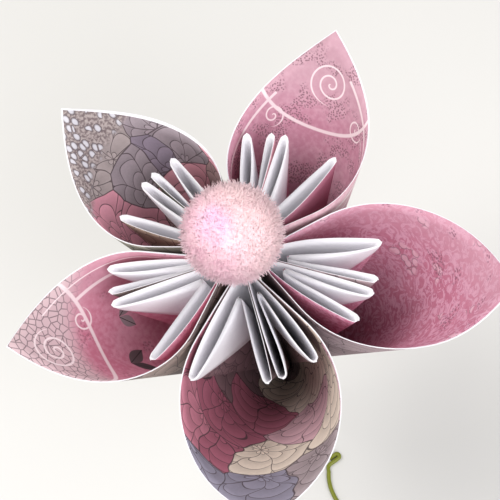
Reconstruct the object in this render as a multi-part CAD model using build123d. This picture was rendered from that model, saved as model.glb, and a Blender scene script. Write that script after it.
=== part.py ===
from build123d import *
from math import asin, cos, degrees, radians, sin, tan
import os

# Folded paper flower: five petals, each from one square sheet, a pom-pom in
# the middle and a bent wire stem. Millimetres, +Z up, floor at z = 0, and the
# flower's axis is the Z axis.

# The sheet
SHEET = 150.0            # side of the square that one petal is folded from
PAPER = 0.25             # thickness of one layer of paper
RIM = SHEET / 2          # height of the seam's top above the sheet's centre

# How the petals stand round the stem
STEM_RISE = 40.0         # the sheets' centres lie this far above the floor
APEX_OFFSET = 1.4        # each sheet's centre lies this far off the axis
SEAM_LEAN = 1.6          # the seam leans outwards by this much at the rim
PETAL_GAP = 0.4          # room between two neighbouring walls at the mouth
WALL_LOW = 3.0           # the pointed foot of a petal is cut off at this height
WALL_FLOOR = 7.0         # the hollow of a petal starts at this height
FLAP_LOW = 34.0          # below this the flaps are pressed flat into the seam
TIP_TURN = 25.0          # the side has turned inwards by this angle where the tip starts

# The flaps inside a petal, measured in the plane of the rim
FLAP_REACH = 31.3        # from the seam to the fold at the end of a loop
FOLD_RADIUS = 0.95       # rounding of the fold at the end of a loop
RIDGE_RADIUS = 0.55      # rounding of the fold between two loops
RIDGE_REACH = 9.0        # from the seam to the centre of that rounding
SPLIT_ANGLE = 3.2        # half the angle between the two loops on the spine
LOOP_ANGLE = 9.0         # half the angle at the end of a loop
LAYER_STEPS = 6          # flats that make up the slight curve of one layer
FOLD_STEPS = 6           # flats that make up the rounding of one fold

# The pom-pom
POM_RADIUS = 12.2        # ball of the pom-pom
POM_CENTRE = 86.0        # its centre above the sheets' centres
POM_SEAT = 0.3           # room between its flat underside and the rims

# The wire stem
WIRE = 1.3               # thickness of the wire
FOOT_TURN = 30.0         # height above the floor at which the stem leaves the axis
HOOK_RADIUS = 0.8        # bend of the small hook at the wire's free end
HOOK_LENGTH = 2.4        # straight sides of that hook

# Where the wire meets the floor, and where its open foot then runs
LANDING = (9.0, 12.0)
FOOT = [
    (13.0, 22.0),
    (4.0, 29.5),
    (-13.0, 23.0),
    (-26.0, 5.0),
    (-30.0, -18.0),
    (-25.0, -42.0),
    (-11.0, -57.0),
    (6.0, -60.0),
    (14.5, -53.0),
    (8.0, -46.0),
    (-2.0, -41.5),
    (-5.4, -33.0),
    (-4.6, -26.0),
]
HOOK_START = (-1.4, -21.5)

# Name, direction of the petal, opening of the petal, rounding of its tip on
# the two sides as a share of that side's rounding, direction of the spine, and
# directions of the side loops; all angles in degrees, the last three counted
# from the petal's own direction.
PETALS = [
    ("petal_upper_right", 40.0, 32.0, 0.80, 0.80, 12.5, 28.0, -18.5),
    ("petal_upper_left", 117.5, 30.5, 0.90, 0.85, -4.0, 19.0, -19.0),
    ("petal_left", 184.0, 32.5, 0.80, 0.90, -12.0, 25.5, -27.0),
    ("petal_front", 254.0, 38.5, 0.62, 0.62, 8.0, 27.5, -30.0),
    ("petal_right", 322.0, 37.5, 0.75, 0.50, -4.0, 17.5, -21.5),
]


def polar(radius, angle):
    """Point at a distance and a direction in degrees."""
    return Vector(radius * cos(radians(angle)), radius * sin(radians(angle)), 0)


def flat(point, height):
    """The same point lifted to a height."""
    return Vector(point.X, point.Y, height)


def side_angle(wedge):
    """Direction of a petal's side so that it comes close to the next petal."""
    out = APEX_OFFSET * sin(radians(wedge)) - PAPER - PETAL_GAP / 2
    inside = SEAM_LEAN * sin(radians(wedge))
    reach = 0.32 * RIM
    return wedge + degrees(asin((out * 0.85 + inside) / reach))


def half_outline(opening, rounding, angle):
    """One half of a petal's teardrop in the rim plane: a straight side, then two arcs.

    It gives the end of the straight side and, for each arc, its centre, its radius
    and the directions of its two ends as seen from that centre.
    """
    joint = -TIP_TURN
    reach = RIM * tan(radians(opening)) - SEAM_LEAN
    a = radians(angle)
    j = radians(joint)
    # The two arcs lead from the side to the tip, which lies on the petal's own line.
    along = sin(a) - sin(j) + rounding * (sin(j) + 1)
    across = cos(j) - cos(a) - rounding * cos(j)
    side_radius = reach * sin(a) / (along * sin(a) - across * cos(a))
    straight = -side_radius * across / sin(a)
    tip_radius = side_radius * rounding
    touch = Vector(SEAM_LEAN, 0, 0) + polar(straight, angle)
    side_centre = touch - polar(side_radius, angle + 90)
    tip_centre = side_centre + polar(side_radius - tip_radius, joint + 90)
    return touch, [
        (side_centre, side_radius, angle + 90, joint + 90),
        (tip_centre, tip_radius, joint + 90, 0),
    ]


def wall_edges(height, grow, opening, sides):
    """Teardrop outline of a petal's wall at a height, grown by an offset."""
    scale = height / RIM
    halves = []
    for side, (rounding, angle) in zip((1, -1), sides):
        arcs = half_outline(opening, rounding, angle)[1]
        points = []
        for centre, radius, first, last in arcs:
            for way in (first, (first + last) / 2, last):
                place = centre * scale + polar(radius * scale + grow, way)
                points.append(Vector(place.X, side * place.Y, height))
        halves.append(points)
    # The corner at the seam lies at the offset from both sides.
    a = radians(sides[0][1])
    b = radians(sides[1][1])
    back = -grow * (cos(a) + cos(b)) / sin(a + b)
    across = grow * (sin(b) - sin(a)) / sin(a + b)
    corner = Vector(SEAM_LEAN * scale + back, across, height)
    p, m = halves
    return [
        Line(corner, p[0]),
        ThreePointArc(p[0], p[1], p[2]),
        ThreePointArc(p[2], p[4], p[5]),
        ThreePointArc(p[5], m[4], m[2]),
        ThreePointArc(m[2], m[1], m[0]),
        Line(m[0], corner),
    ]


def mouth_points(opening, rounding, angle):
    """Edge of a petal's mouth, from its widest place to the tip."""
    touch, arcs = half_outline(opening, rounding, angle)
    seam = Vector(SEAM_LEAN, 0, 0)
    drawing = [seam + (touch - seam) * (step / 8) for step in range(8)]
    for centre, radius, first, last in arcs:
        for step in range(8):
            drawing.append(centre + polar(radius, first + (last - first) * step / 8))
    drawing.append(arcs[-1][0] + polar(arcs[-1][1], 0))
    drawing = [flat(place, RIM) for place in drawing]
    # The angle used up on the flat sheet, from the seam to each point.
    used = [0.0]
    for before, after in zip(drawing, drawing[1:]):
        used.append(used[-1] + before.get_angle(after))
    points = []
    for place, angle_used in list(zip(drawing, used))[14::2]:
        reach = RIM / cos(radians(45 * angle_used / used[-1]))
        points.append(place.normalized() * reach)
    return points


def petal_wall(opening, sides):
    """The two outer layers of a petal, closed at the seam and open at the top."""
    top = RIM * 1.35
    outside = Solid.make_loft([
        Wire(wall_edges(WALL_LOW, PAPER, opening, sides)),
        Wire(wall_edges(top, PAPER, opening, sides)),
    ], ruled=True)
    inside = Solid.make_loft([
        Wire(wall_edges(WALL_FLOOR, -PAPER, opening, sides)),
        Wire(wall_edges(top + 1, -PAPER, opening, sides)),
    ], ruled=True)
    # The sides of the mouth are level, and its end rises to the sheet's corner.
    (round_plus, plus), (round_minus, minus) = sides
    mouth = mouth_points(opening, (round_plus + round_minus) / 2, (plus + minus) / 2)
    wide = mouth[0]
    side_view = Polyline(
        (-SHEET / 10, 0, RIM),
        (POM_RADIUS, 0, RIM),
        (wide.X, 0, wide.Z),
        (wide.X, 0, SHEET),
        (-SHEET / 10, 0, SHEET),
        close=True,
    )
    over_sides = extrude(Face(Wire(side_view)), amount=SHEET / 2, dir=(0, 1, 0), both=True)
    plus_edge = [Vector(wide.X, q.Y, q.Z) for q in mouth]
    minus_edge = [Vector(wide.X, -q.Y, q.Z) for q in mouth]
    end_view = Wire([
        Line((wide.X, SHEET / 2, wide.Z), plus_edge[0]),
        Spline(*plus_edge),
        Spline(*minus_edge[::-1]),
        Line(minus_edge[0], (wide.X, -SHEET / 2, wide.Z)),
        Line((wide.X, -SHEET / 2, wide.Z), (wide.X, -SHEET / 2, SHEET)),
        Line((wide.X, -SHEET / 2, SHEET), (wide.X, SHEET / 2, SHEET)),
        Line((wide.X, SHEET / 2, SHEET), (wide.X, SHEET / 2, wide.Z)),
    ])
    over_end = extrude(Face(end_view), amount=SHEET, dir=(1, 0, 0))
    return outside - inside - over_sides - over_end


def bend(start, start_way, end, end_way):
    """Points and directions on a smooth curve between two ends."""
    pull = (end - start).length / 3
    a = start
    b = start + polar(pull, start_way)
    c = end - polar(pull, end_way)
    d = end
    run = []
    for step in range(LAYER_STEPS + 1):
        u = step / LAYER_STEPS
        v = 1 - u
        place = a * v ** 3 + b * (3 * v * v * u) + c * (3 * v * u * u) + d * u ** 3
        way = (b - a) * (v * v) + (c - b) * (2 * v * u) + (d - c) * (u * u)
        run.append((place, way.normalized()))
    return run


def turn(centre, radius, first, last):
    """Points and directions on the rounding of a fold."""
    run = []
    spin = 90 if last > first else -90
    for step in range(FOLD_STEPS + 1):
        angle = first + (last - first) * step / FOLD_STEPS
        run.append((centre + polar(radius, angle), polar(1, angle + spin)))
    return run


def flap_line(side, spine, loop, wall):
    """Middle line of the folded flap on one side of the spine, in the rim plane."""
    seam = Vector(SEAM_LEAN, 0, 0)
    near = spine + side * SPLIT_ANGLE
    ridge = (near + loop) / 2
    spread = abs(loop - near) / 2
    tip_centre = FLAP_REACH - FOLD_RADIUS
    lens = min(LOOP_ANGLE, spread)
    open_turn = 90 - lens
    ridge_turn = 90 - spread
    first_fold = turn(seam + polar(tip_centre, near), FOLD_RADIUS,
                      near - side * open_turn, near + side * open_turn)
    ridge_fold = turn(seam + polar(RIDGE_REACH, ridge), RIDGE_RADIUS,
                      ridge + 180 + side * ridge_turn, ridge + 180 - side * ridge_turn)
    second_fold = turn(seam + polar(tip_centre, loop), FOLD_RADIUS,
                       loop - side * open_turn, loop + side * open_turn)
    start = seam + polar(PAPER * 0.47, spine + side * 90)
    end = seam + polar(FLAP_REACH * 0.13, side * wall)
    back_inner = bend(start, spine, first_fold[0][0], near + side * lens)
    back_outer = bend(first_fold[-1][0], near + 180 - side * lens,
                      ridge_fold[0][0], ridge + 180 - side * spread)
    front_outer = bend(ridge_fold[-1][0], ridge + side * spread,
                       second_fold[0][0], loop + side * lens)
    front_inner = bend(second_fold[-1][0], loop + 180 - side * lens,
                       end, side * (wall + 8) + 180)
    # A fold's own ends are the ends of the layers beside it.
    line = back_inner + first_fold[1:-1]
    line = line + back_outer + ridge_fold[1:-1]
    line = line + front_outer + second_fold[1:-1]
    return line + front_inner


def band(line, height):
    """Outline of one paper layer that follows the middle line at a height."""
    scale = height / RIM
    left = []
    right = []
    for place, way in line:
        across = Vector(-way.Y, way.X, 0) * (PAPER / 2)
        left.append(flat(place * scale + across, height))
        right.append(flat(place * scale - across, height))
    return Wire(Polyline(*left, *right[::-1], close=True))


def flap(side, spine, loop, wall):
    """One folded flap: four layers of the sheet and the three folds between them."""
    line = flap_line(side, spine, loop, wall)
    return Solid.make_loft([band(line, FLAP_LOW), band(line, RIM)], ruled=True)


def petal(index):
    """One petal in its place round the stem."""
    name, way, opening, round_plus, round_minus, spine, loop_plus, loop_minus = PETALS[index]
    after = PETALS[(index + 1) % len(PETALS)][1]
    before = PETALS[index - 1][1]
    plus = side_angle(((after - way) % 360) / 2)
    minus = side_angle(((way - before) % 360) / 2)
    body = petal_wall(opening, [(round_plus, plus), (round_minus, minus)])
    body = body + flap(1, spine, loop_plus, plus)
    body = body + flap(-1, spine, loop_minus, minus)
    place = Rot(0, 0, way) * Pos(APEX_OFFSET, 0, STEM_RISE)
    return name, place * body


def pom_pom():
    """Ball with a flat underside that sits on the rims."""
    ball = Pos(0, 0, STEM_RISE + POM_CENTRE) * Sphere(POM_RADIUS)
    seat = STEM_RISE + RIM + POM_SEAT
    below = Pos(0, 0, seat - SHEET / 2) * Box(SHEET, SHEET, SHEET)
    return ball - below


def wire_stem():
    """Wire down the flower's axis, bent into an open foot with a hooked end."""
    low = WIRE / 2
    top = Vector(0, 0, STEM_RISE + RIM)
    leave = Vector(0, 0, FOOT_TURN)
    landing = Vector(LANDING[0], LANDING[1], low)
    floor = [landing] + [Vector(x, y, low) for x, y in FOOT]
    run = Spline(*floor)
    down = Spline(leave, landing, tangents=((0, 0, -1), run % 0))
    start = Vector(HOOK_START[0], HOOK_START[1], low)
    knee = TangentArc(run @ 1, start, tangent=run % 1)
    ahead = knee % 1
    aside = Vector(-ahead.Y, ahead.X, 0)
    end = start + ahead * HOOK_LENGTH
    hook_top = end + (ahead + aside) * HOOK_RADIUS
    hook_end = end + aside * (2 * HOOK_RADIUS)
    path = Wire([
        Line(top, leave),
        down,
        run,
        knee,
        Line(start, end),
        ThreePointArc(end, hook_top, hook_end),
        Line(hook_end, hook_end - ahead * HOOK_LENGTH),
    ])
    section = Plane(origin=top, z_dir=(0, 0, -1)) * Circle(WIRE / 2)
    return sweep(section, path=path)


os.makedirs("parts", exist_ok=True)
for index in range(len(PETALS)):
    name, body = petal(index)
    print(name, len(body.solids()), round(body.volume, 1), body.is_valid)
    export_step(body, "parts/" + name + ".step")
pom = pom_pom()
export_step(pom, "parts/pom_pom.step")
stem = wire_stem()
print("wire_stem", len(stem.solids()), round(stem.volume, 1), stem.is_valid)
export_step(stem, "parts/wire_stem.step")
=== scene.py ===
# %% [markdown]
# # A folded paper flower
# The flower has five petals. Each one is a square sheet of printed paper, folded and rolled
# into a cup. A fluffy ball sits in the middle and a green wire carries it. We load the CAD
# model first, because it fixes where everything stands. Then we build the paper as real
# sheets: a flat square that is bent into place, so that its print and its white back follow.

# %% Load the frame
import random
from cmath import rect
from math import asin, atan2, cos, degrees, hypot, pi, radians, sin, tan

import bmesh
import bpy
from mathutils import Matrix, Vector


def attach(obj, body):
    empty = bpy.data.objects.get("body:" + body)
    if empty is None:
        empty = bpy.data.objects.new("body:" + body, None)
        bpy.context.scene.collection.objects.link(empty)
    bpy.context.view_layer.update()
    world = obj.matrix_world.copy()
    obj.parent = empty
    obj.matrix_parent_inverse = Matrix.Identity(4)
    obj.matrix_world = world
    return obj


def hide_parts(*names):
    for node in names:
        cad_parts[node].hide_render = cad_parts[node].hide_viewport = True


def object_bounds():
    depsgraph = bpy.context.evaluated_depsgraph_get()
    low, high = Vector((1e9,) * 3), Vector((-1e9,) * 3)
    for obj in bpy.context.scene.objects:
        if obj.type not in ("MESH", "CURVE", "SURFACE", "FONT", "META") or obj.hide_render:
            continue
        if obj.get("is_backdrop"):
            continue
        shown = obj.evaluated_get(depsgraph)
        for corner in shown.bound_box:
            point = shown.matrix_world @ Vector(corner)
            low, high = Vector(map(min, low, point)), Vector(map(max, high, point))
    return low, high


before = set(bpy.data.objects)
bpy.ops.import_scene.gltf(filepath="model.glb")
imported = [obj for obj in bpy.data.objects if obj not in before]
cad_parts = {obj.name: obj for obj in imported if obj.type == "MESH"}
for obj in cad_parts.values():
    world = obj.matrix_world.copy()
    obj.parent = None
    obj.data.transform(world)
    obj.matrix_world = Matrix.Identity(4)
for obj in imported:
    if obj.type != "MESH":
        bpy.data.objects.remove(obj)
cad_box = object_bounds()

scene = bpy.context.scene
print("nodes:", sorted(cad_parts))

# %% [markdown]
# ## The camera
# A camera is easiest to place by its direction. The flower faces -Y, so only the height of the
# camera and its distance are left to choose. It was also held slantwise, so we turn the picture
# about the line of sight. The three directions of the camera are the columns of its matrix.

# %% Camera
CAMERA_HEIGHT = radians(62.2)
CAMERA_ROLL = radians(-24.8)
CAMERA_DISTANCE = 0.300
AIM = Vector((0, 0, 0.120))

back = Vector((0, -cos(CAMERA_HEIGHT), sin(CAMERA_HEIGHT)))
level = Vector((1, 0, 0))
upright = back.cross(level)
right = level * cos(CAMERA_ROLL) + upright * sin(CAMERA_ROLL)
above = upright * cos(CAMERA_ROLL) - level * sin(CAMERA_ROLL)

camera_data = bpy.data.cameras.new("camera")
camera_data.lens = 90.2
camera_data.shift_x = 0.026
camera_data.shift_y = -0.012
camera = bpy.data.objects.new("camera", camera_data)
turned = Matrix((right, above, back)).transposed().to_4x4()
camera.matrix_world = Matrix.Translation(AIM + back * CAMERA_DISTANCE) @ turned
scene.collection.objects.link(camera)
scene.camera = camera
print("camera at", [round(c, 3) for c in camera.location])

# %% [markdown]
# ## The stage
# A pale floor and a white world give soft light from all sides. One large lamp above the
# flower makes the gentle shadows in the cups, and a second one on the camera's side keeps the
# ball in the middle bright. The floor is a little darker than the paper, because white rims
# would be lost on a white floor.

# %% Stage and lights
world = bpy.data.worlds.new("world")
world.use_nodes = True
backdrop = world.node_tree.nodes["Background"]
backdrop.inputs["Color"].default_value = (1.0, 0.99, 0.97, 1)
backdrop.inputs["Strength"].default_value = 0.62
scene.world = world
scene.view_settings.view_transform = "Standard"
LAMP_AIM = Vector((0, 0, 0.11))


def lamp(name, place, size, power, colour):
    """A square lamp that looks at the flower."""
    data = bpy.data.lights.new(name, "AREA")
    data.size = size
    data.energy = power
    data.color = colour
    thing = bpy.data.objects.new(name, data)
    thing.location = place
    thing.rotation_euler = (LAMP_AIM - Vector(place)).to_track_quat("-Z", "Y").to_euler()
    scene.collection.objects.link(thing)


lamp("key", (-0.25, 0.2, 0.75), 0.45, 3.8, (1.0, 0.98, 0.95))
lamp("fill", (0.15, -0.5, 0.5), 0.5, 3.4, (0.98, 0.98, 1.0))

floor_mesh = bmesh.new()
bmesh.ops.create_grid(floor_mesh, x_segments=1, y_segments=1, size=3)
floor_data = bpy.data.meshes.new("floor")
floor_mesh.to_mesh(floor_data)
floor = bpy.data.objects.new("floor", floor_data)
scene.collection.objects.link(floor)
floor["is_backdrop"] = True
floor_look = bpy.data.materials.new("floor")
floor_look.use_nodes = True
floor_shader = floor_look.node_tree.nodes["Principled BSDF"]
floor_shader.inputs["Base Color"].default_value = (0.68, 0.675, 0.66, 1)
floor_shader.inputs["Roughness"].default_value = 0.6
floor_data.materials.append(floor_look)
print("stage ready, world strength", round(backdrop.inputs["Strength"].default_value, 2))

# %% [markdown]
# ## The drawing of a petal
# All folds of a petal meet at the middle of its sheet. So every level slice through the petal
# is the same drawing, only larger or smaller. We draw that slice once, in the plane of the
# rim. The sizes are those of the CAD model, in metres, and angles are in degrees. Only the
# paper is thinner than there, so that its white rims stay as fine as on the real flower.

# %% Sizes
SHEET = 0.150  # side of the square that one petal is folded from
RIM = SHEET / 2  # height of the rim above the sheet's middle
PAPER = 0.00013
CAD_PAPER = 0.00025
STEM_RISE = 0.040  # the sheets' middles above the floor
APEX_OFFSET = 0.0014  # each sheet's middle from the flower's axis
SEAM_LEAN = 0.0016  # the seam leans outwards by this much at the rim
PETAL_GAP = 0.0004  # room between two neighbouring walls
TIP_TURN = 25.0  # the side has turned inwards by this angle where the tip starts
FLAP_REACH = 0.0313  # from the seam to the fold at the end of a loop
FOLD_RADIUS = 0.00095  # rounding of that fold
RIDGE_RADIUS = 0.00055  # rounding of the fold between two loops
RIDGE_REACH = 0.009  # from the seam to the centre of that rounding
SPLIT_ANGLE = 3.2  # half the angle between the two loops on the spine
LOOP_ANGLE = 9.0  # half the angle at the end of a loop

# Name, direction, opening, rounding of the tip on both sides, spine, and the two side loops.
PETALS = [
    ("petal_upper_right", 40.0, 32.0, 0.80, 0.80, 12.5, 28.0, -18.5),
    ("petal_upper_left", 117.5, 30.5, 0.90, 0.85, -4.0, 19.0, -19.0),
    ("petal_left", 184.0, 32.5, 0.80, 0.90, -12.0, 25.5, -27.0),
    ("petal_front", 254.0, 38.5, 0.62, 0.62, 8.0, 27.5, -30.0),
    ("petal_right", 322.0, 37.5, 0.75, 0.50, -4.0, 17.5, -21.5),
]
print(len(PETALS), "petals from sheets of", SHEET, "m")

# %% [markdown]
# ### Points, arcs and bends
# Paper lies flat, turns round a fold or bends softly from one direction to another. So the
# drawing needs points, arcs and bends. Complex numbers serve as points, since they add up and
# turn like arrows: `rect(length, angle)` is an arrow of a length and a direction. A bend is a
# Bezier curve, which leaves and arrives in directions that we choose.

# %% Points, arcs and bends
def point(radius, angle):
    return rect(radius, radians(angle))


def arc(centre, radius, first, last, count=10):
    return [centre + point(radius, first + (last - first) * i / count) for i in range(count + 1)]


def bend(start, start_way, end, end_way, count=24):
    pull = abs(end - start) / 3
    b = start + point(pull, start_way)
    c = end - point(pull, end_way)
    run = []
    for step in range(count + 1):
        u = step / count
        v = 1 - u
        run.append(start * v**3 + b * 3 * v * v * u + c * 3 * v * u * u + end * u**3)
    return run


print("a quarter arc has", len(arc(0, RIM, 0, 90)), "points")

# %% [markdown]
# ### The wall
# Seen from above, the wall of a petal is a drop: straight sides from the seam, then a wide arc,
# then a tighter one round the tip. The two arcs share a direction where they meet, which fixes
# both radii, so a petal can be made wider or narrower by its angles alone.

# %% The wall
WIDEST = 0.32  # the walls come closest this far from the axis, as a share of the rim's height
OUT_SHARE = 0.85  # how much of the free room beside it a wall takes up


def side_angle(wedge):
    """Direction of a petal's side so that it comes close to the next petal."""
    out = APEX_OFFSET * sin(radians(wedge)) - CAD_PAPER - PETAL_GAP / 2
    inside = SEAM_LEAN * sin(radians(wedge))
    return wedge + degrees(asin((out * OUT_SHARE + inside) / (WIDEST * RIM)))


def wall_half(opening, rounding, angle, side):
    """From the seam along one side of the cup to its tip: a straight run and two arcs."""
    a = radians(angle)
    j = radians(-TIP_TURN)
    reach = RIM * tan(radians(opening)) - SEAM_LEAN
    along = sin(a) - sin(j) + rounding * (sin(j) + 1)
    across = cos(j) - cos(a) - rounding * cos(j)
    radius = reach * sin(a) / (along * sin(a) - across * cos(a))
    straight = -radius * across / sin(a)
    touch = SEAM_LEAN + point(straight, angle)
    centre = touch - point(radius, angle + 90)
    tip_centre = centre + point(radius * (1 - rounding), 90 - TIP_TURN)
    run = [SEAM_LEAN + (touch - SEAM_LEAN) * (i / 12) for i in range(12)]
    run += arc(centre, radius, angle + 90, 90 - TIP_TURN, 28)
    run += arc(tip_centre, radius * rounding, 90 - TIP_TURN, 0, 24)[1:]
    return run if side > 0 else [p.conjugate() for p in run]


print("half a wall has", len(wall_half(32.0, 0.8, side_angle(36.0), 1)), "points")

# %% [markdown]
# ### The flaps
# Two corners of the sheet are tucked into the cup as flaps. Each one goes out from the seam,
# round a fold, back to a ridge, out again round a second fold and back to the wall. That makes
# the white loops. Together with the two layers of the wall a petal is twelve runs of paper.

# %% The flaps
def flap_runs(side, spine, loop, wall):
    """The four layers of one flap, split at the middle of each fold."""
    near = spine + side * SPLIT_ANGLE
    ridge = (near + loop) / 2
    spread = abs(loop - near) / 2
    lens = min(LOOP_ANGLE, spread)
    tip = FLAP_REACH - FOLD_RADIUS
    half = 90 - lens
    turn = 90 - spread
    # The layer next to the spine runs nearly straight, so that it stays on its own side.
    first = arc(SEAM_LEAN + point(tip, near), FOLD_RADIUS, near - side * 89, near + side * half)
    middle = arc(SEAM_LEAN + point(RIDGE_REACH, ridge), RIDGE_RADIUS,
                 ridge + 180 + side * turn, ridge + 180 - side * turn)
    second = arc(SEAM_LEAN + point(tip, loop), FOLD_RADIUS, loop - side * half, loop + side * half)
    start = SEAM_LEAN + point(0.00012, spine + side * 90)
    end = SEAM_LEAN + point(FLAP_REACH * 0.05, side * (wall - 14))
    a = bend(start, spine + side, first[0], near + side)
    b = bend(first[-1], near + 180 - side * lens, middle[0], ridge + 180 - side * spread)
    c = bend(middle[-1], ridge + side * spread, second[0], loop + side * lens)
    d = bend(second[-1], loop + 180 - side * lens, end, side * (wall - 2) + 180)
    return [
        a + first[1:6],
        first[5:] + b[1:] + middle[1:6],
        middle[5:] + c[1:] + second[1:6],
        second[5:] + d[1:],
    ]


def petal_runs(index):
    """All twelve runs of paper in order: each wall is two of them, from seam to tip to seam."""
    way, opening, round_plus, round_minus, spine, loop_plus, loop_minus = PETALS[index][1:]
    after = PETALS[(index + 1) % len(PETALS)][1]
    before = PETALS[index - 1][1]
    plus = side_angle(((after - way) % 360) / 2)
    minus = side_angle(((way - before) % 360) / 2)
    wall_plus = wall_half(opening, round_plus, plus, 1)
    wall_minus = wall_half(opening, round_minus, minus, -1)
    flap_plus = flap_runs(1, spine, loop_plus, plus)
    flap_minus = flap_runs(-1, spine, loop_minus, minus)
    runs = [wall_minus, wall_plus[::-1]] + flap_plus + [wall_plus, wall_minus[::-1]]
    runs += [run[::-1] for run in flap_minus[::-1]]
    return runs


print("the drawing has", len(petal_runs(0)), "runs of paper")

# %% [markdown]
# ## Folding a sheet
# The sheet starts as one plain grid. Its columns are rays from the middle of the square, its
# rows are steps outwards. Folding moves each point of the grid to its place: the ray says
# where on the drawing it goes, the step says how far up. Cloth simulation could fold paper
# too, but it would never find these folds by itself. A run of paper therefore answers two
# questions: which way a ray points once it is folded, and to which side the print looks.

# %% A run of paper
class Run:
    """One run of paper that can be asked for the direction at any share of its angle."""

    def __init__(self, points):
        self.ways = [Vector((p.real, p.imag, RIM)).normalized() for p in points]
        self.used = [0.0]
        for a, b in zip(self.ways, self.ways[1:]):
            self.used.append(self.used[-1] + a.angle(b, 0.0))

    def way(self, share):
        goal = min(max(share, 0.0), 1.0) * self.used[-1]
        k = 1
        while k < len(self.used) - 1 and self.used[k] < goal:
            k += 1
        span = max(self.used[k] - self.used[k - 1], 1e-12)
        return self.ways[k - 1].lerp(self.ways[k], (goal - self.used[k - 1]) / span).normalized()

    def side(self, share):
        """The printed side of the paper at that share."""
        ahead = self.way(share + 0.004) - self.way(share - 0.004)
        return ahead.cross(self.way(share)).normalized()


angles = [degrees(Run(points).used[-1]) for points in petal_runs(0)]
print("runs of the first petal turn by", [round(angle, 1) for angle in angles], "degrees")

# %% [markdown]
# ### The columns of the grid
# Right round its middle the sheet has 360 degrees. Two quarters become the outer and the inner
# wall, the other two become the flaps. Columns stand close together at the folds of a flap,
# because tight curves need more points than flat paper.

# %% The columns of the grid
FLAP = ["flap", "corner", "corner", "flap"]
LAYERS = ["wall up", "wall down"] + FLAP + ["wall up", "wall down"] + FLAP
TURNS = [45, 45, 22.5, 22.5, 22.5, 22.5, 45, 45, 22.5, 22.5, 22.5, 22.5]
WALL_COLUMNS = 36
FLAP_COLUMNS = 18


def sheet_columns():
    """For each column: its run, the layer of that run, its share of the run, and its angle."""
    columns = []
    flat = 0.0
    for number, (layer, turn) in enumerate(zip(LAYERS, TURNS)):
        wall = layer.startswith("wall")
        count = WALL_COLUMNS if wall else FLAP_COLUMNS
        for step in range(count):
            share = step / count if wall else (1 - cos(pi * step / count)) / 2
            columns.append((number, layer, share, flat + turn * share))
        flat += turn
    columns.append((len(LAYERS) - 1, LAYERS[-1], 1.0, flat))
    return columns


print("the sheet has", len(sheet_columns()), "columns")

# %% [markdown]
# ### Where a point goes
# Up to the rim a point follows its ray. The two layers of a wall lie on each other, so each is
# lifted by half their distance, and the outer one stands out a little at the rim, as it does on
# paper that was folded by hand. The two corners that don't become the tip of the petal reach
# past the rim. They are turned back there and lie flat on the flap, with their white side out.

# %% Where a point goes
BODY_ROWS = 22
CORNER_ROWS = 6
PINHOLE = 0.0006  # the middle of the sheet stays open by this much
LAYER_LIFT = 0.000075  # half the distance between the two layers of a wall
CORNER_LIFT = 0.0003
# How far the outer layer stands out, on the side where the paper starts and on the other side.
PEEK = {
    "petal_upper_right": (0.0005, 0.0002),
    "petal_upper_left": (0.0011, 0.00005),
    "petal_left": (0.0002, 0.0001),
    "petal_front": (0.0001, 0.00005),
    "petal_right": (0.0004, 0.00005),
}


def edge_reach(angle):
    """From the sheet's middle to its edge, in a direction in degrees."""
    from_middle = (angle + 45) % 90 - 45
    return RIM / cos(radians(from_middle))


def outer_peek(name, number, share):
    """How far the outer layer stands out at a share of its run."""
    if number > 1:
        return 0.0
    here, there = PEEK[name] if number == 0 else PEEK[name][::-1]
    from_tip = 1 - share if number == 0 else share
    return here + (there - here) * max(0.0, 0.5 - 2 * from_tip)


def body_place(run, layer, share, peek, body, row):
    """A point between the middle of the sheet and the rim, with its reach on the flat sheet."""
    reach = PINHOLE + (body - PINHOLE) * row / BODY_ROWS
    lift = 0.0
    if layer == "wall up":
        lift = LAYER_LIFT * min(1.0, 6 * share)
    if layer == "wall down":
        lift = LAYER_LIFT * min(1.0, 6 * (1 - share))
    place = run.way(share) * (reach + peek * row / BODY_ROWS)
    return reach, place + run.side(share) * lift


def corner_place(run, number, angle, corner_way, body, edge, row):
    """A point of a corner that is turned back at the rim."""
    reach = body + (edge - body) * (row - BODY_ROWS) / CORNER_ROWS
    along = reach * cos(radians(angle - corner_way))
    across = reach * sin(radians(angle - corner_way))
    back_along = 2 * RIM - along
    back_reach = hypot(back_along, across)
    back_angle = corner_way + degrees(atan2(across, back_along))
    back_share = (back_angle - sum(TURNS[:number])) / TURNS[number]
    place = run.way(back_share) * back_reach
    return reach, place + run.side(back_share) * CORNER_LIFT


print("a corner reaches", round(edge_reach(45) - RIM, 4), "m past the rim")

# %% [markdown]
# ### From grid to petal
# Because every point still knows its place on the flat square, the print needs no unwrapping:
# that place is its UV. The faces past the rim that belong to no corner are cut away. A Solidify
# modifier gives the sheet its thickness and its white reverse, and the cut edges are white too.

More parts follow.
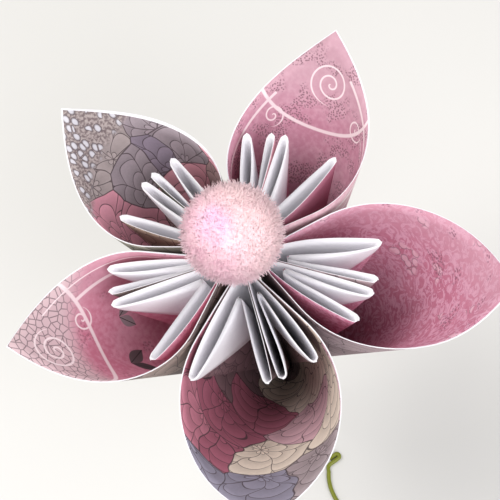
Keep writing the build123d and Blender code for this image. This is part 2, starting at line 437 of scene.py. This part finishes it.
# %% Fold the petals
def fold_petal(index):
    name, way = PETALS[index][:2]
    runs = [Run(points) for points in petal_runs(index)]
    columns = sheet_columns()
    total = len(columns) - 1
    rows = BODY_ROWS + CORNER_ROWS

    bm = bmesh.new()
    bmesh.ops.create_grid(bm, x_segments=total, y_segments=rows, size=1.0)
    chart = bm.loops.layers.uv.new("sheet")
    spots = {}
    turn_in = Matrix.Rotation(radians(way), 3, "Z")
    for vertex in bm.verts:
        column = round((vertex.co.x + 1) / 2 * total)
        row = round((vertex.co.y + 1) / 2 * rows)
        number, layer, share, angle = columns[column]
        edge = body = edge_reach(angle)
        corner_way = 45 + 90 * int(angle // 90 % 4)
        if layer == "corner":
            body = RIM / cos(radians(angle - corner_way))
        if row <= BODY_ROWS:
            peek = outer_peek(name, number, share)
            reach, place = body_place(runs[number], layer, share, peek, body, row)
        else:
            reach, place = corner_place(runs[number], number, angle, corner_way, body, edge, row)
        spots[vertex] = (column, row, reach * cos(radians(angle)), reach * sin(radians(angle)))
        vertex.co = turn_in @ (place + Vector((APEX_OFFSET, 0, STEM_RISE)))

    spare = []
    for face in bm.faces:
        column = min(spots[v][0] for v in face.verts)
        row = min(spots[v][1] for v in face.verts)
        number, layer = columns[column][:2]
        if row >= BODY_ROWS and layer != "corner":
            spare.append(face)
        face.material_index = 1 if 3 <= number <= 10 else 0
        face.smooth = True
        for loop in face.loops:
            spot = spots[loop.vert]
            loop[chart].uv = (spot[2] / SHEET + 0.5, spot[3] / SHEET + 0.5)
    bmesh.ops.delete(bm, geom=spare, context="FACES")
    bmesh.ops.remove_doubles(bm, verts=bm.verts, dist=1e-7)
    return finish_petal(name, bm)


def finish_petal(name, bm):
    """The folded sheet as a piece of the flower, with its thickness."""
    mesh = bpy.data.meshes.new(name + "_sheet")
    bm.to_mesh(mesh)
    bm.free()
    sheet = bpy.data.objects.new(name + "_sheet", mesh)
    scene.collection.objects.link(sheet)
    thick = sheet.modifiers.new("paper", "SOLIDIFY")
    thick.thickness = PAPER
    thick.offset = 0
    thick.material_offset = 2
    thick.material_offset_rim = 2
    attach(sheet, "root")
    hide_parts(name)
    return sheet


sheets = [fold_petal(index) for index in range(len(PETALS))]
for sheet in sheets:
    print(sheet.name, len(sheet.data.polygons), "faces")

# %% [markdown]
# ## Mixing a print
# A print could be painted as a picture, but a picture has one size only. We mix it from nodes
# instead, as sums on the flat sheet's own coordinates, so it stays sharp from close by. A small
# helper keeps that readable: most of its methods add one node and hand back its output.

# %% A helper for materials
SHEET_MM = SHEET * 1000


class Recipe:
    """A material that is mixed step by step."""

    def __init__(self, name, roughness):
        self.look = bpy.data.materials.new(name)
        self.look.use_nodes = True
        self.tree = self.look.node_tree
        self.shader = self.tree.nodes["Principled BSDF"]
        self.shader.inputs["Roughness"].default_value = roughness

    def put(self, socket, value):
        if isinstance(value, bpy.types.NodeSocket):
            self.tree.links.new(value, socket)
        else:
            socket.default_value = value

    def maths(self, operation, *values):
        node = self.tree.nodes.new("ShaderNodeMath")
        node.operation = operation
        for socket, value in zip(node.inputs, values):
            self.put(socket, value)
        return node.outputs[0]

    def mix(self, share, first, second):
        node = self.tree.nodes.new("ShaderNodeMix")
        node.data_type = "RGBA"
        for number, value in ((0, share), (6, first), (7, second)):
            self.put(node.inputs[number], value if not isinstance(value, tuple) else (*value, 1))
        return node.outputs[2]

    def step(self, value, start, end):
        """A smooth climb from 0 to 1 between two values."""
        node = self.tree.nodes.new("ShaderNodeMapRange")
        node.interpolation_type = "SMOOTHSTEP"
        self.put(node.inputs["Value"], value)
        self.put(node.inputs["From Min"], start)
        self.put(node.inputs["From Max"], end)
        return node.outputs["Result"]

    def point(self, x, y):
        node = self.tree.nodes.new("ShaderNodeCombineXYZ")
        self.put(node.inputs["X"], x)
        self.put(node.inputs["Y"], y)
        return node.outputs["Vector"]

    def split(self, vector):
        node = self.tree.nodes.new("ShaderNodeSeparateXYZ")
        self.put(node.inputs[0], vector)
        return node.outputs["X"], node.outputs["Y"]

    def noise(self, place, size, detail=3.0, twist=0.0):
        node = self.tree.nodes.new("ShaderNodeTexNoise")
        self.put(node.inputs["Vector"], place)
        node.inputs["Scale"].default_value = 1 / size
        node.inputs["Detail"].default_value = detail
        node.inputs["Distortion"].default_value = twist
        return node.outputs["Fac"]

    def cells(self, place, size, feature="F1", loose=1.0):
        node = self.tree.nodes.new("ShaderNodeTexVoronoi")
        node.voronoi_dimensions = "2D"
        node.feature = feature
        self.put(node.inputs["Vector"], place)
        node.inputs["Scale"].default_value = 1 / size
        node.inputs["Randomness"].default_value = loose
        return node.outputs

    def ramp(self, value, stops):
        """Plain colours that change at the given stops."""
        node = self.tree.nodes.new("ShaderNodeValToRGB")
        node.color_ramp.interpolation = "CONSTANT"
        while len(node.color_ramp.elements) < len(stops):
            node.color_ramp.elements.new(1.0)
        for element, (spot, colour) in zip(node.color_ramp.elements, stops):
            element.position = spot
            element.color = (*colour, 1)
        self.put(node.inputs["Fac"], value)
        return node.outputs["Color"]

    def sheet_millimetres(self, from_corner):
        """Distances in millimetres from two edges of the sheet, counted from one corner."""
        node = self.tree.nodes.new("ShaderNodeUVMap")
        node.uv_map = "sheet"
        u, v = self.split(node.outputs["UV"])
        if from_corner == "far":
            u = self.maths("SUBTRACT", 1.0, u)
            v = self.maths("SUBTRACT", 1.0, v)
        return self.maths("MULTIPLY", u, SHEET_MM), self.maths("MULTIPLY", v, SHEET_MM)

    def paper_grain(self, place):
        """Fine fibres in the paper, as a slight unevenness."""
        node = self.tree.nodes.new("ShaderNodeBump")
        node.inputs["Strength"].default_value = 0.12
        node.inputs["Distance"].default_value = 0.00006
        self.put(node.inputs["Height"], self.noise(place, 0.5, 4.0))
        self.put(self.shader.inputs["Normal"], node.outputs["Normal"])

    def finish(self, colour):
        self.put(self.shader.inputs["Base Color"], colour)
        return self.look


def srgb(red, green, blue):
    """A colour as seen on a screen, 0 to 255, in the linear numbers that a shader wants."""
    return tuple(((c / 255 + 0.055) / 1.055) ** 2.4 if c > 10 else c / 3295 for c in (red, green, blue))


print("colour helper: mid grey is", [round(c, 3) for c in srgb(128, 128, 128)])

# %% [markdown]
# ## Drawing with sums
# A line is wherever some measure is close to zero. For a ring the measure is the distance from
# a point less the ring's radius. For a scroll the ring grows as it goes round. A leaf is a
# stretch of a line that is as wide as a sine wave is high. A shape is 1 on itself and 0
# elsewhere, and the prints mix their colours by these shapes.

# %% Shapes for the prints
def stroke(r, measure, half_width):
    distance = r.maths("ABSOLUTE", measure)
    return r.maths("SUBTRACT", 1.0, r.step(distance, half_width * 0.6, half_width * 1.3))


def both(r, *shapes):
    whole = shapes[0]
    for shape in shapes[1:]:
        whole = r.maths("MULTIPLY", whole, shape)
    return whole


def either(r, *shapes):
    whole = shapes[0]
    for shape in shapes[1:]:
        whole = r.maths("MAXIMUM", whole, shape)
    return whole


def around(r, x, y, cx, cy):
    """Distance and direction from a point, in millimetres and turns."""
    dx = r.maths("SUBTRACT", x, cx)
    dy = r.maths("SUBTRACT", y, cy)
    away = r.maths("SQRT", r.maths("ADD", r.maths("MULTIPLY", dx, dx), r.maths("MULTIPLY", dy, dy)))
    turns = r.maths("MULTIPLY", r.maths("ARCTAN2", dy, dx), 1 / (2 * pi))
    return away, turns


def ring(r, x, y, cx, cy, radius, half_width):
    away = around(r, x, y, cx, cy)[0]
    return stroke(r, r.maths("SUBTRACT", away, radius), half_width)


def scroll(r, x, y, cx, cy, pitch, reach, hand, half_width):
    away, turns = around(r, x, y, cx, cy)
    wound = r.maths("ADD", r.maths("MULTIPLY", away, 1 / pitch), r.maths("MULTIPLY", turns, hand))
    off = r.maths("SUBTRACT", r.maths("FRACT", wound), 0.5)
    return both(r, stroke(r, off, half_width / pitch), r.maths("LESS_THAN", away, reach))


def straight(r, x, y, level, start, end, half_width):
    """A line along x at a fixed y, from a start to an end."""
    line = stroke(r, r.maths("SUBTRACT", y, level), half_width)
    return both(r, line, r.maths("GREATER_THAN", x, start), r.maths("LESS_THAN", x, end))


def leaf(r, x, y, cx, cy, way, length, width):
    dx = r.maths("SUBTRACT", x, cx)
    dy = r.maths("SUBTRACT", y, cy)
    c = cos(radians(way)) / length
    s = sin(radians(way)) / length
    along = r.maths("ADD", r.maths("MULTIPLY", dx, c), r.maths("MULTIPLY", dy, s))
    across = r.maths("SUBTRACT", r.maths("MULTIPLY", dy, c), r.maths("MULTIPLY", dx, s))
    swell = r.maths("SINE", r.maths("MULTIPLY", along, pi))
    room = r.maths("SUBTRACT", r.maths("MULTIPLY", swell, width / length), r.maths("ABSOLUTE", across))
    inside = both(r, r.maths("GREATER_THAN", along, 0.0), r.maths("LESS_THAN", along, 1.0))
    return both(r, inside, r.step(room, 0.0, 0.03)), r.maths("ABSOLUTE", across)


def speckle(r, place, size, part, patches):
    """Small dots in patches."""
    dots = r.maths("LESS_THAN", r.cells(place, size)["Distance"], 0.34)
    where = r.step(r.noise(place, patches, 2.0), 1 - part - 0.04, 1 - part + 0.04)
    return both(r, dots, where)


print("shapes: stroke, ring, scroll, straight line, leaf and speckle")

# %% [markdown]
# ## Two kinds of print
# The sheets carry two kinds of print. One is made of rounded fans, drawn with a thin dark
# outline and filled with rose, grey, slate and beige. Here every fan is a cell of a Voronoi
# texture, and its lobes are rings whose edge rises and falls as they go round a root beside
# the cell's middle. The other is a mottled pink with pale lines and scrolls on it.

# %% The fan print and the pink print
INK = srgb(62, 48, 54)
RING_PITCH = 4.6
ROOT_SHIFT = 0.3  # from a fan's middle to its root, as a share of the fan's size
BAND_WIDTH = 17.0


def fan_print(r, x, y, near_plus, near_minus, size=19.0, lobes=8.0, band=None):
    """Fans whose colour goes by how far they are from the tip and on which side they lie."""
    place = r.point(x, y)
    sway = r.noise(place, 14.0, 1.0)
    push = r.maths("MULTIPLY", r.maths("SUBTRACT", sway, 0.5), 9.0)
    place = r.point(r.maths("ADD", x, push), r.maths("SUBTRACT", y, push))
    fan = r.cells(place, size, loose=0.85)
    border = r.cells(place, size, "DISTANCE_TO_EDGE", loose=0.85)["Distance"]
    cx, cy = r.split(fan["Position"])
    px, py = r.split(place)
    root_x = r.maths("ADD", cx, ROOT_SHIFT * size)
    root_y = r.maths("ADD", cy, ROOT_SHIFT * size)
    away, turns = around(r, px, py, root_x, root_y)
    chance = r.split(fan["Color"])[0]

    lobe = r.maths("FRACT", r.maths("ADD", r.maths("MULTIPLY", turns, lobes), chance))
    off = r.maths("ABSOLUTE", r.maths("SUBTRACT", lobe, 0.5))
    fall = r.maths("MULTIPLY", r.maths("MULTIPLY", off, off), 4.0)
    arch = r.maths("SQRT", r.maths("SUBTRACT", 1.0, fall))
    rings = r.maths("MULTIPLY", away, 1 / RING_PITCH)
    rise = r.maths("FRACT", r.maths("SUBTRACT", rings, r.maths("MULTIPLY", arch, 0.62)))
    from_half = r.maths("ABSOLUTE", r.maths("SUBTRACT", rise, 0.5))
    edge_of_ring = stroke(r, r.maths("SUBTRACT", from_half, 0.5), 0.03)
    gap = r.maths("MULTIPLY", r.maths("SUBTRACT", 0.5, off), r.maths("MULTIPLY", away, 2 * pi / lobes))
    edge_of_lobe = stroke(r, gap, 0.13)
    edge_of_fan = stroke(r, r.maths("MULTIPLY", border, size), 0.17)

    depth = r.maths("MULTIPLY", r.maths("MAXIMUM", cx, cy), 2 / SHEET_MM)
    depth = r.maths("ADD", depth, r.maths("MULTIPLY", r.maths("SUBTRACT", chance, 0.5), 0.2))
    side = r.maths("GREATER_THAN", cx, cy)
    fill = r.mix(side, r.ramp(depth, near_plus), r.ramp(depth, near_minus))
    if band:
        across = r.maths("ABSOLUTE", r.maths("SUBTRACT", cx, cy))
        middle = r.maths("LESS_THAN", across, BAND_WIDTH)
        halfway = stroke(r, r.maths("SUBTRACT", depth, 0.4), 0.12)
        fill = r.mix(both(r, middle, halfway), fill, band)
    tone = r.maths("ADD", 0.86, r.maths("MULTIPLY", rise, 0.28))
    dust = r.maths("MULTIPLY", r.maths("SUBTRACT", r.noise(place, 0.8, 3.0), 0.5), 0.25)
    grain = r.maths("ADD", tone, dust)
    shade = r.tree.nodes.new("ShaderNodeVectorMath")
    shade.operation = "SCALE"
    r.put(shade.inputs[0], fill)
    r.put(shade.inputs["Scale"], grain)
    ink = r.maths("MULTIPLY", either(r, edge_of_ring, edge_of_lobe, edge_of_fan), 0.85)
    return r.mix(ink, shade.outputs[0], INK)


def pink_print(r, place, pale, deep):
    """Mottled pink ground."""
    cloud = r.noise(place, 16.0, 2.0)
    grain = r.noise(place, 1.6, 4.0)
    both_noises = r.maths("ADD", r.maths("MULTIPLY", cloud, 0.5), r.maths("MULTIPLY", grain, 0.5))
    return r.mix(r.step(both_noises, 0.36, 0.64), deep, pale)


print("two kinds of print, outlined in", [round(c, 2) for c in INK])

# %% [markdown]
# ## The five papers
# The inside of a petal shows one corner of its sheet, and the outside shows the corner across
# from it. Both end at the petal's tip, and each is drawn in millimetres from the two edges that
# meet at its own corner. The order matters, since each step paints over the last. We start with
# the white reverse and the outsides, of which little shows, so they stay plain.

# %% White paper and the outsides
def blank_sheet(name, corner, roughness=0.78):
    """A recipe with its paper grain, and the place on the sheet in millimetres."""
    r = Recipe(name, roughness)
    x, y = r.sheet_millimetres(corner)
    place = r.point(x, y)
    r.paper_grain(place)
    return r, x, y, place


def white_paper():
    r, _, _, place = blank_sheet("white_paper", "near", 0.82)
    return r.finish(r.mix(r.noise(place, 1.2, 5.0), srgb(226, 224, 230), srgb(236, 235, 239)))


def grey_outside(name, first, second, third):
    r, x, y, _ = blank_sheet(name + "_outside", "far")
    stops = [(0.0, first), (0.3, second), (0.45, first), (0.62, third)]
    return r.finish(fan_print(r, x, y, stops, stops[1:] + [(0.9, first)]))


def pink_outside(name):
    r, x, y, place = blank_sheet(name + "_outside", "far")
    colour = pink_print(r, place, srgb(226, 192, 200), srgb(204, 158, 172))
    lines = either(r, straight(r, x, y, 5.0, 6.0, 90.0, 0.5), straight(r, x, y, 8.5, 10.0, 90.0, 0.25),
                   straight(r, y, x, 5.0, 6.0, 90.0, 0.5), straight(r, y, x, 8.5, 10.0, 90.0, 0.25))
    return r.finish(r.mix(lines, colour, srgb(240, 226, 228)))


white = white_paper()
print("reverse:", white.name)

# %% [markdown]
# ### Insides with fans
# Two petals show the fan print inside. Its colours change with the distance from the tip, and
# on both sides of the petal's middle line in another order. The upper left one ends in small
# pale petals on a speckled ground. A small petal is what a round dot and a cell of a Voronoi
# texture have in common, so that no two are alike, and a larger dark one below it is its rim.

# %% Insides with fans
def upper_left_inside():
    r, x, y, place = blank_sheet("petal_upper_left_inside", "near")
    plus = [(0.0, srgb(158, 146, 146)), (0.2, srgb(140, 128, 138)), (0.32, srgb(128, 116, 132)),
            (0.42, srgb(204, 142, 158)), (0.6, srgb(190, 108, 128)), (0.8, srgb(144, 126, 112))]
    minus = [(0.0, srgb(158, 146, 146)), (0.24, srgb(144, 132, 139)), (0.4, srgb(130, 118, 133)),
             (0.48, srgb(200, 142, 155)), (0.64, srgb(168, 138, 139)), (0.84, srgb(138, 110, 108))]
    colour = fan_print(r, x, y, plus, minus, 15.0, 7.0)
    lean = r.maths("ADD", x, r.maths("MULTIPLY", y, 0.55))
    wavy = r.maths("ADD", lean, r.maths("MULTIPLY", r.noise(place, 7.0, 2.0), 12.0))
    near_tip = r.maths("SUBTRACT", 1.0, r.step(wavy, 22.0, 25.0))
    grain = r.step(r.noise(place, 0.8, 3.0), 0.36, 0.64)
    colour = r.mix(near_tip, colour, r.mix(grain, srgb(112, 98, 100), srgb(172, 160, 158)))
    stretched = r.point(r.maths("MULTIPLY", r.maths("ADD", x, y), 0.7), r.maths("SUBTRACT", y, x))
    blossom = r.cells(stretched, 3.0, loose=0.9)
    away = blossom["Distance"]
    to_edge = r.cells(stretched, 3.0, "DISTANCE_TO_EDGE", 0.9)["Distance"]
    some = both(r, near_tip, r.maths("GREATER_THAN", r.split(blossom["Color"])[0], 0.35))
    rims = both(r, some, r.step(to_edge, 0.0, 0.04), r.maths("LESS_THAN", away, 0.5))
    dot = r.maths("SUBTRACT", 1.0, r.step(away, 0.22, 0.46))
    petals = both(r, some, r.step(to_edge, 0.06, 0.16), dot)
    colour = r.mix(r.maths("MULTIPLY", rims, 0.75), colour, srgb(88, 78, 84))
    colour = r.mix(r.maths("MULTIPLY", petals, 0.95), colour, srgb(206, 204, 212))
    return r.finish(colour)


def front_inside():
    r, x, y, _ = blank_sheet("petal_front_inside", "near")
    plus = [(0.0, srgb(152, 138, 142)), (0.22, srgb(166, 150, 155)), (0.34, srgb(210, 196, 183)),
            (0.56, srgb(196, 158, 168)), (0.66, srgb(214, 199, 187)), (0.82, srgb(150, 128, 128))]
    minus = [(0.0, srgb(146, 136, 144)), (0.2, srgb(134, 129, 146)), (0.36, srgb(180, 114, 132)),
             (0.48, srgb(160, 92, 112)), (0.6, srgb(170, 100, 120)), (0.76, srgb(124, 98, 104))]
    beige = srgb(210, 196, 183)
    return r.finish(fan_print(r, x, y, plus, minus, 17.0, 8.0, beige))


fan_insides = {"petal_upper_left": upper_left_inside(), "petal_front": front_inside()}
print("insides with fans:", ", ".join(sorted(fan_insides)))

# %% [markdown]
# ### Insides in pink
# The other three petals are pink inside. Two of them carry pale lines, rings and scrolls near
# their tips. The left one also has a net of fine cells and a few dark leaves, and the right one
# a pattern of curls all over. On the upper right one, painted shade darkens the pink towards the
# depth of its cup.

# %% Insides in pink
def pale_lines(r, colour, shape):
    return r.mix(r.maths("MULTIPLY", shape, 0.85), colour, srgb(240, 222, 226))


def upper_right_inside():
    r, x, y, place = blank_sheet("petal_upper_right_inside", "near")
    colour = pink_print(r, place, srgb(202, 154, 171), srgb(184, 126, 147))
    depth = r.maths("ADD", x, y)
    near_tip = r.maths("SUBTRACT", 1.0, r.step(depth, 14.0, 40.0))
    colour = r.mix(r.maths("MULTIPLY", near_tip, 0.55), colour, srgb(194, 162, 172))
    # Painted shade: the pink turns a deeper rose towards the bottom of the cup.
    colour = r.mix(r.maths("MULTIPLY", r.step(depth, 45.0, 105.0), 0.8), colour, srgb(162, 94, 117))
    dots = speckle(r, place, 0.7, 0.48, 8.0)
    tip_dots = both(r, dots, r.maths("LESS_THAN", depth, 66.0))
    colour = r.mix(r.maths("MULTIPLY", tip_dots, 0.7), colour, srgb(108, 76, 88))
    lines = either(r, straight(r, x, y, 3.4, 13.0, 70.0, 0.45),
                   straight(r, x, y, 6.4, 28.0, 60.0, 0.16),
                   straight(r, y, x, 3.6, 24.0, 70.0, 0.4), ring(r, x, y, 5.0, 6.0, 21.0, 0.5),
                   scroll(r, x, y, 11.0, 10.0, 2.7, 6.2, 1.0, 0.26),
                   scroll(r, x, y, 8.0, 29.0, 2.2, 3.4, -1.0, 0.24),
                   scroll(r, x, y, 25.0, 8.0, 2.2, 3.4, 1.0, 0.24))
    return r.finish(pale_lines(r, colour, lines))


# Place of the root, direction, length, width and colour of each leaf.
LEAVES = [
    (24.0, 30.0, 64.0, 10.0, 2.0, (74, 62, 66)),
    (24.0, 30.0, 8.0, 9.0, 2.2, (92, 78, 82)),
    (35.0, 20.0, -12.0, 7.0, 1.7, (138, 122, 128)),
    (35.0, 20.0, 62.0, 6.5, 1.7, (146, 130, 136)),
    (12.0, 33.0, 40.0, 8.0, 1.6, (128, 112, 118)),
]


def left_inside():
    r, x, y, place = blank_sheet("petal_left_inside", "near")
    colour = pink_print(r, place, srgb(208, 146, 166), srgb(190, 112, 136))
    depth = r.maths("ADD", x, y)
    edge = r.maths("SUBTRACT", 1.0, r.step(y, 3.0, 17.0))
    colour = r.mix(r.maths("MULTIPLY", edge, 0.6), colour, srgb(194, 150, 164))
    near_tip = r.maths("SUBTRACT", 1.0, r.step(depth, 26.0, 38.0))
    colour = r.mix(r.maths("MULTIPLY", near_tip, 0.8), colour, srgb(206, 184, 188))
    net = stroke(r, r.cells(place, 2.1, "DISTANCE_TO_EDGE")["Distance"], 0.075)
    colour = r.mix(r.maths("MULTIPLY", both(r, near_tip, net), 0.75), colour, srgb(98, 84, 90))
    dots = speckle(r, place, 1.0, 0.4, 10.0)
    colour = r.mix(r.maths("MULTIPLY", dots, 0.4), colour, srgb(108, 60, 78))
    for cx, cy, way, length, width, tint in LEAVES:
        shape, across = leaf(r, x, y, cx, cy, way, length, width)
        vein = stroke(r, across, 0.02)
        colour = r.mix(shape, colour, srgb(*tint))
        colour = r.mix(both(r, shape, vein), colour, srgb(60, 50, 54))
    lines = either(r, straight(r, x, y, 2.8, 16.0, 70.0, 0.2), straight(r, x, y, 7.0, 27.0, 62.0, 0.5),
                   straight(r, y, x, 2.2, 24.0, 64.0, 0.25), ring(r, x, y, 6.0, 7.0, 21.0, 0.6),
                   scroll(r, x, y, 10.0, 11.0, 2.9, 6.6, -1.0, 0.32),
                   scroll(r, x, y, 25.0, 12.0, 2.3, 3.5, 1.0, 0.27))
    return r.finish(pale_lines(r, colour, lines))


def right_inside():
    r, x, y, place = blank_sheet("petal_right_inside", "near")
    colour = pink_print(r, place, srgb(194, 126, 149), srgb(182, 110, 135))
    curl = r.noise(place, 3.2, 2.0, 2.6)
    sprays = r.step(curl, 0.475, 0.52)
    colour = r.mix(r.maths("MULTIPLY", sprays, 0.85), colour, srgb(212, 160, 182))
    outline = stroke(r, r.maths("SUBTRACT", curl, 0.5), 0.012)
    veins = stroke(r, r.maths("SUBTRACT", curl, 0.57), 0.014)
    colour = r.mix(r.maths("MULTIPLY", either(r, outline, veins), 0.5), colour, srgb(168, 96, 126))
    depth = r.maths("ADD", x, y)
    edge = r.maths("SUBTRACT", 1.0, r.step(x, 2.0, 16.0))
    colour = r.mix(r.maths("MULTIPLY", edge, 0.5), colour, srgb(204, 160, 175))
    blossom = r.cells(place, 2.6, loose=0.9)["Distance"]
    rims = stroke(r, r.maths("SUBTRACT", blossom, 0.4), 0.06)
    some = both(r, r.step(r.noise(place, 12.0, 1.0), 0.58, 0.62), r.maths("LESS_THAN", x, 22.0))
    petals = both(r, some, r.maths("LESS_THAN", blossom, 0.4))
    colour = r.mix(r.maths("MULTIPLY", petals, 0.6), colour, srgb(226, 186, 200))
    colour = r.mix(r.maths("MULTIPLY", both(r, some, rims), 0.6), colour, srgb(134, 98, 112))
    dots = both(r, speckle(r, place, 0.8, 0.42, 9.0), r.maths("LESS_THAN", depth, 44.0))
    return r.finish(r.mix(r.maths("MULTIPLY", dots, 0.6), colour, srgb(108, 64, 84)))


pink_insides = {"petal_upper_right": upper_right_inside(), "petal_left": left_inside(),
                "petal_right": right_inside()}
print("insides in pink:", ", ".join(sorted(pink_insides)))

# %% [markdown]
# ### Paper on the petals
# A sheet has four slots: the two prints of its front, and the white reverse once for each of
# them, because Solidify moves the reverse and the cut edge two slots on.

# %% Paper on the petals
GREYS = {
    "petal_upper_left": (srgb(150, 146, 134), srgb(128, 124, 114), srgb(112, 106, 98)),
    "petal_left": (srgb(144, 126, 120), srgb(122, 108, 104), srgb(106, 92, 90)),
    "petal_front": (srgb(152, 140, 146), srgb(136, 128, 144), srgb(118, 100, 102)),
    "petal_right": (srgb(170, 148, 154), srgb(148, 130, 138), srgb(130, 108, 114)),
}
insides = {**fan_insides, **pink_insides}
for sheet in sheets:
    name = sheet.name[: -len("_sheet")]
    outside = grey_outside(name, *GREYS[name]) if name in GREYS else pink_outside(name)
    inside = insides[name]
    for look in (outside, inside, white, white):
        sheet.data.materials.append(look)
    print(sheet.name, "wears", outside.name, "and", inside.name)

# %% [markdown]
# ## The pom-pom
# The ball in the middle is made of very many short, soft fibres. Hair particles would give
# them too, but a mesh travels with the part. So we start from a fine ball, pick every other
# face by chance and draw it out into a thin, leaning fibre. Lit one by one, such fibres look
# like bristles. Real fluff scatters its light so much that the ball is lit as a whole, and
# we get that look by giving each fibre the normals of the ball.

# %% Pom-pom
POM_CENTRE = Vector((0, 0, STEM_RISE + 0.086))
POM_CORE = 0.0113  # the ball that the fibres stand on
FIBRE_CHANCE = 0.5
FIBRE_INSET = 0.00007
FIBRE_LEAN = 0.5
FIBRE_SHORT, FIBRE_MORE = 0.0004, 0.0015
FIBRE_TIP = 0.2  # width of a fibre's tip as a share of its root

random.seed(7)
bm = bmesh.new()
bmesh.ops.create_icosphere(bm, subdivisions=6, radius=POM_CORE)
rooted = [face for face in bm.faces if random.random() < FIBRE_CHANCE]
bmesh.ops.inset_individual(bm, faces=rooted, thickness=FIBRE_INSET)
fibres = bmesh.ops.extrude_discrete_faces(bm, faces=rooted)["faces"]
for face in fibres:
    middle = face.calc_center_median()
    out = middle.normalized()
    lean = Vector((random.gauss(0, 1), random.gauss(0, 1), random.gauss(0, 1))) * FIBRE_LEAN
    length = FIBRE_SHORT + FIBRE_MORE * random.random() ** 2
    end = middle + (out + lean).normalized() * length
    for vertex in face.verts:
        vertex.co = end + (vertex.co - middle) * FIBRE_TIP
bmesh.ops.translate(bm, verts=bm.verts, vec=POM_CENTRE)
for face in bm.faces:
    face.smooth = True
pom_mesh = bpy.data.meshes.new("pom_pom_fluff")
bm.to_mesh(pom_mesh)
bm.free()
pom_mesh.normals_split_custom_set_from_vertices(
    [(vertex.co - POM_CENTRE).normalized() for vertex in pom_mesh.vertices])
pom = bpy.data.objects.new("pom_pom_fluff", pom_mesh)
scene.collection.objects.link(pom)
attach(pom, "root")
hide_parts("pom_pom")
print("pom-pom", len(fibres), "fibres and", len(pom_mesh.polygons), "faces")

# %% [markdown]
# ### Fluff
# The fibres are dyed pink, with a lilac spot and paler tufts, and painted light makes them paler
# and warmer on one side. We place those colours by Object coordinates, which here count metres
# from the flower's axis.
# Sheen adds the pale glow that soft fibres have where one looks along them.

# %% Fluff
LILAC_SPOT = (-0.0029, -0.0013)


def fluff():
    r = Recipe("fluff", 1.0)
    place = r.tree.nodes.new("ShaderNodeTexCoord").outputs["Object"]
    x, y = r.split(place)
    # Painted light: the fibres turn paler and warmer towards +x.
    colour = r.mix(r.step(x, -0.007, 0.006), srgb(252, 204, 220), srgb(255, 222, 224))
    away = around(r, x, y, *LILAC_SPOT)[0]
    lilac = r.maths("SUBTRACT", 1.0, r.step(away, 0.001, 0.0065))
    colour = r.mix(r.maths("MULTIPLY", lilac, 0.8), colour, srgb(250, 200, 234))
    tufts = r.noise(place, 0.003, 2.0)
    colour = r.mix(r.maths("MULTIPLY", r.step(tufts, 0.4, 0.65), 0.5), colour, srgb(255, 222, 228))
    r.shader.inputs["Specular IOR Level"].default_value = 0.1
    r.shader.inputs["Sheen Weight"].default_value = 0.8
    r.shader.inputs["Sheen Tint"].default_value = (*srgb(255, 224, 232), 1.0)
    return r.finish(colour)


pom_mesh.materials.append(fluff())
print("pom-pom wears", pom_mesh.materials[0].name)

# %% [markdown]
# ## The wire
# The stem is a stiff wire in green paint. We keep its CAD shape but for the small hook at its
# end, which the photo shows turned further out from under the front petal. A maker would turn
# it with pliers. We copy the CAD mesh, merge its loose triangles and do the same: the turn
# grows along a short stretch, so that the wire bends there and doesn't kink.

# %% Wire
# The hook lies in the box between two corners, and the turn grows from the start of the bend.
HOOK_TURN = radians(-28)
HOOK_PIVOT = Vector((-0.00283, -0.02114, 0))
HOOK_LOW, HOOK_HIGH = Vector((-0.008, -0.026, -0.001)), Vector((0.004, -0.015, 0.002))
BEND_START = Vector((-0.00395, -0.0245, 0))
BEND_WAY = Vector((0.57, 0.82, 0))
BEND_LENGTH = 0.0032

bm = bmesh.new()
bm.from_mesh(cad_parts["wire_stem"].data)
bmesh.ops.remove_doubles(bm, verts=bm.verts, dist=0.000001)
hook = [vertex for vertex in bm.verts
        if all(low < c < high for low, c, high in zip(HOOK_LOW, vertex.co, HOOK_HIGH))]
for vertex in hook:
    share = (vertex.co - BEND_START).dot(BEND_WAY) / BEND_LENGTH
    share = min(1.0, max(0.0, share))
    share = share * share * (3 - 2 * share)
    turn = Matrix.Rotation(HOOK_TURN * share, 4, "Z")
    vertex.co = HOOK_PIVOT + turn @ (vertex.co - HOOK_PIVOT)
for face in bm.faces:
    face.smooth = True
wire_mesh = bpy.data.meshes.new("green_wire")
bm.to_mesh(wire_mesh)
bm.free()
wire = bpy.data.objects.new("green_wire", wire_mesh)
scene.collection.objects.link(wire)
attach(wire, "root")
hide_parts("wire_stem")
print("wire", len(wire_mesh.polygons), "faces,", len(hook), "points in the hook")

# %% [markdown]
# ### The wire's coat
# The paint on such a wire is a dull olive green and a little uneven in tone, so two greens are
# mixed by a noise about twice as coarse as the wire is thick.

# %% The wire's coat
def green_coat():
    r = Recipe("green_coat", 0.42)
    place = r.tree.nodes.new("ShaderNodeTexCoord").outputs["Object"]
    return r.finish(r.mix(r.noise(place, 0.003, 3.0), srgb(104, 112, 14), srgb(128, 132, 28)))


wire_mesh.materials.append(green_coat())
print("wire wears", wire_mesh.materials[0].name)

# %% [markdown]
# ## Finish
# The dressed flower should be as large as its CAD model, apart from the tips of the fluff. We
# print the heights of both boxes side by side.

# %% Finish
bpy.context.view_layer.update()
heights = [round(box[1][2], 4) for box in (cad_box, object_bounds())]
print("height of the CAD model and of the flower:", heights)
